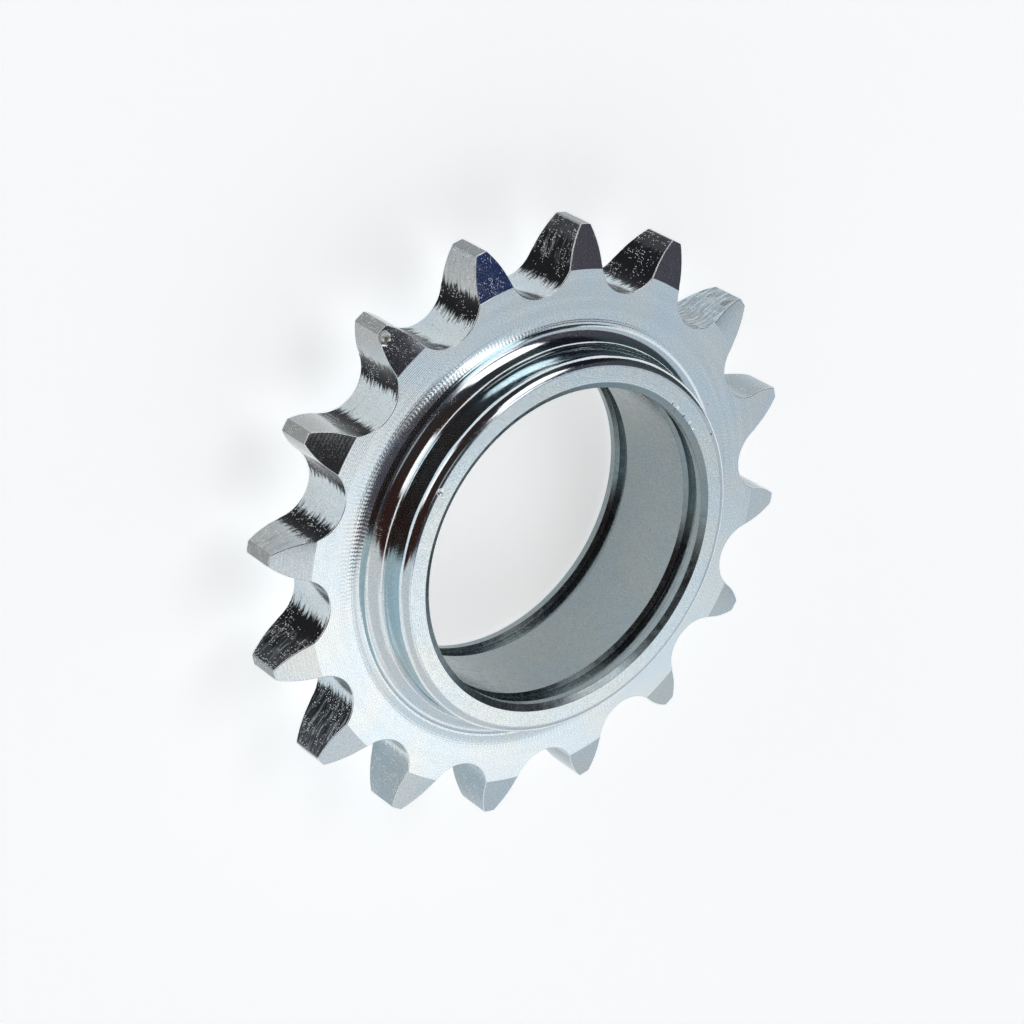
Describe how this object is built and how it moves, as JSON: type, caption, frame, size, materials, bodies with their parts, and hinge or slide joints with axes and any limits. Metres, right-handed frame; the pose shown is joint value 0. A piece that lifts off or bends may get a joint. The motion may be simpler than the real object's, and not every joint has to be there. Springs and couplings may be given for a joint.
{
  "type": "tensioner sprocket",
  "caption": "Steel idler sprocket for tensioning a roller chain, with a round hub on both sides of its tooth ring and a bore grooved for a ball bearing and its retaining rings.",
  "frame": {"origin": "on the sprocket's axis, in the plane of the rear hub face that it lies on", "axes": "+Z along the bore's axis, up through the front hub face; +X through the middle of a tooth"},
  "size_m": [0.0886, 0.0886, 0.0218],
  "materials": {
    "zinc_steel": "bright zinc plating on turned steel, bluish clear passivation, fine concentric lathe lines"
  },
  "bodies": {
    "root": {"sprocket": "zinc_steel"}
  },
  "joints": []
}
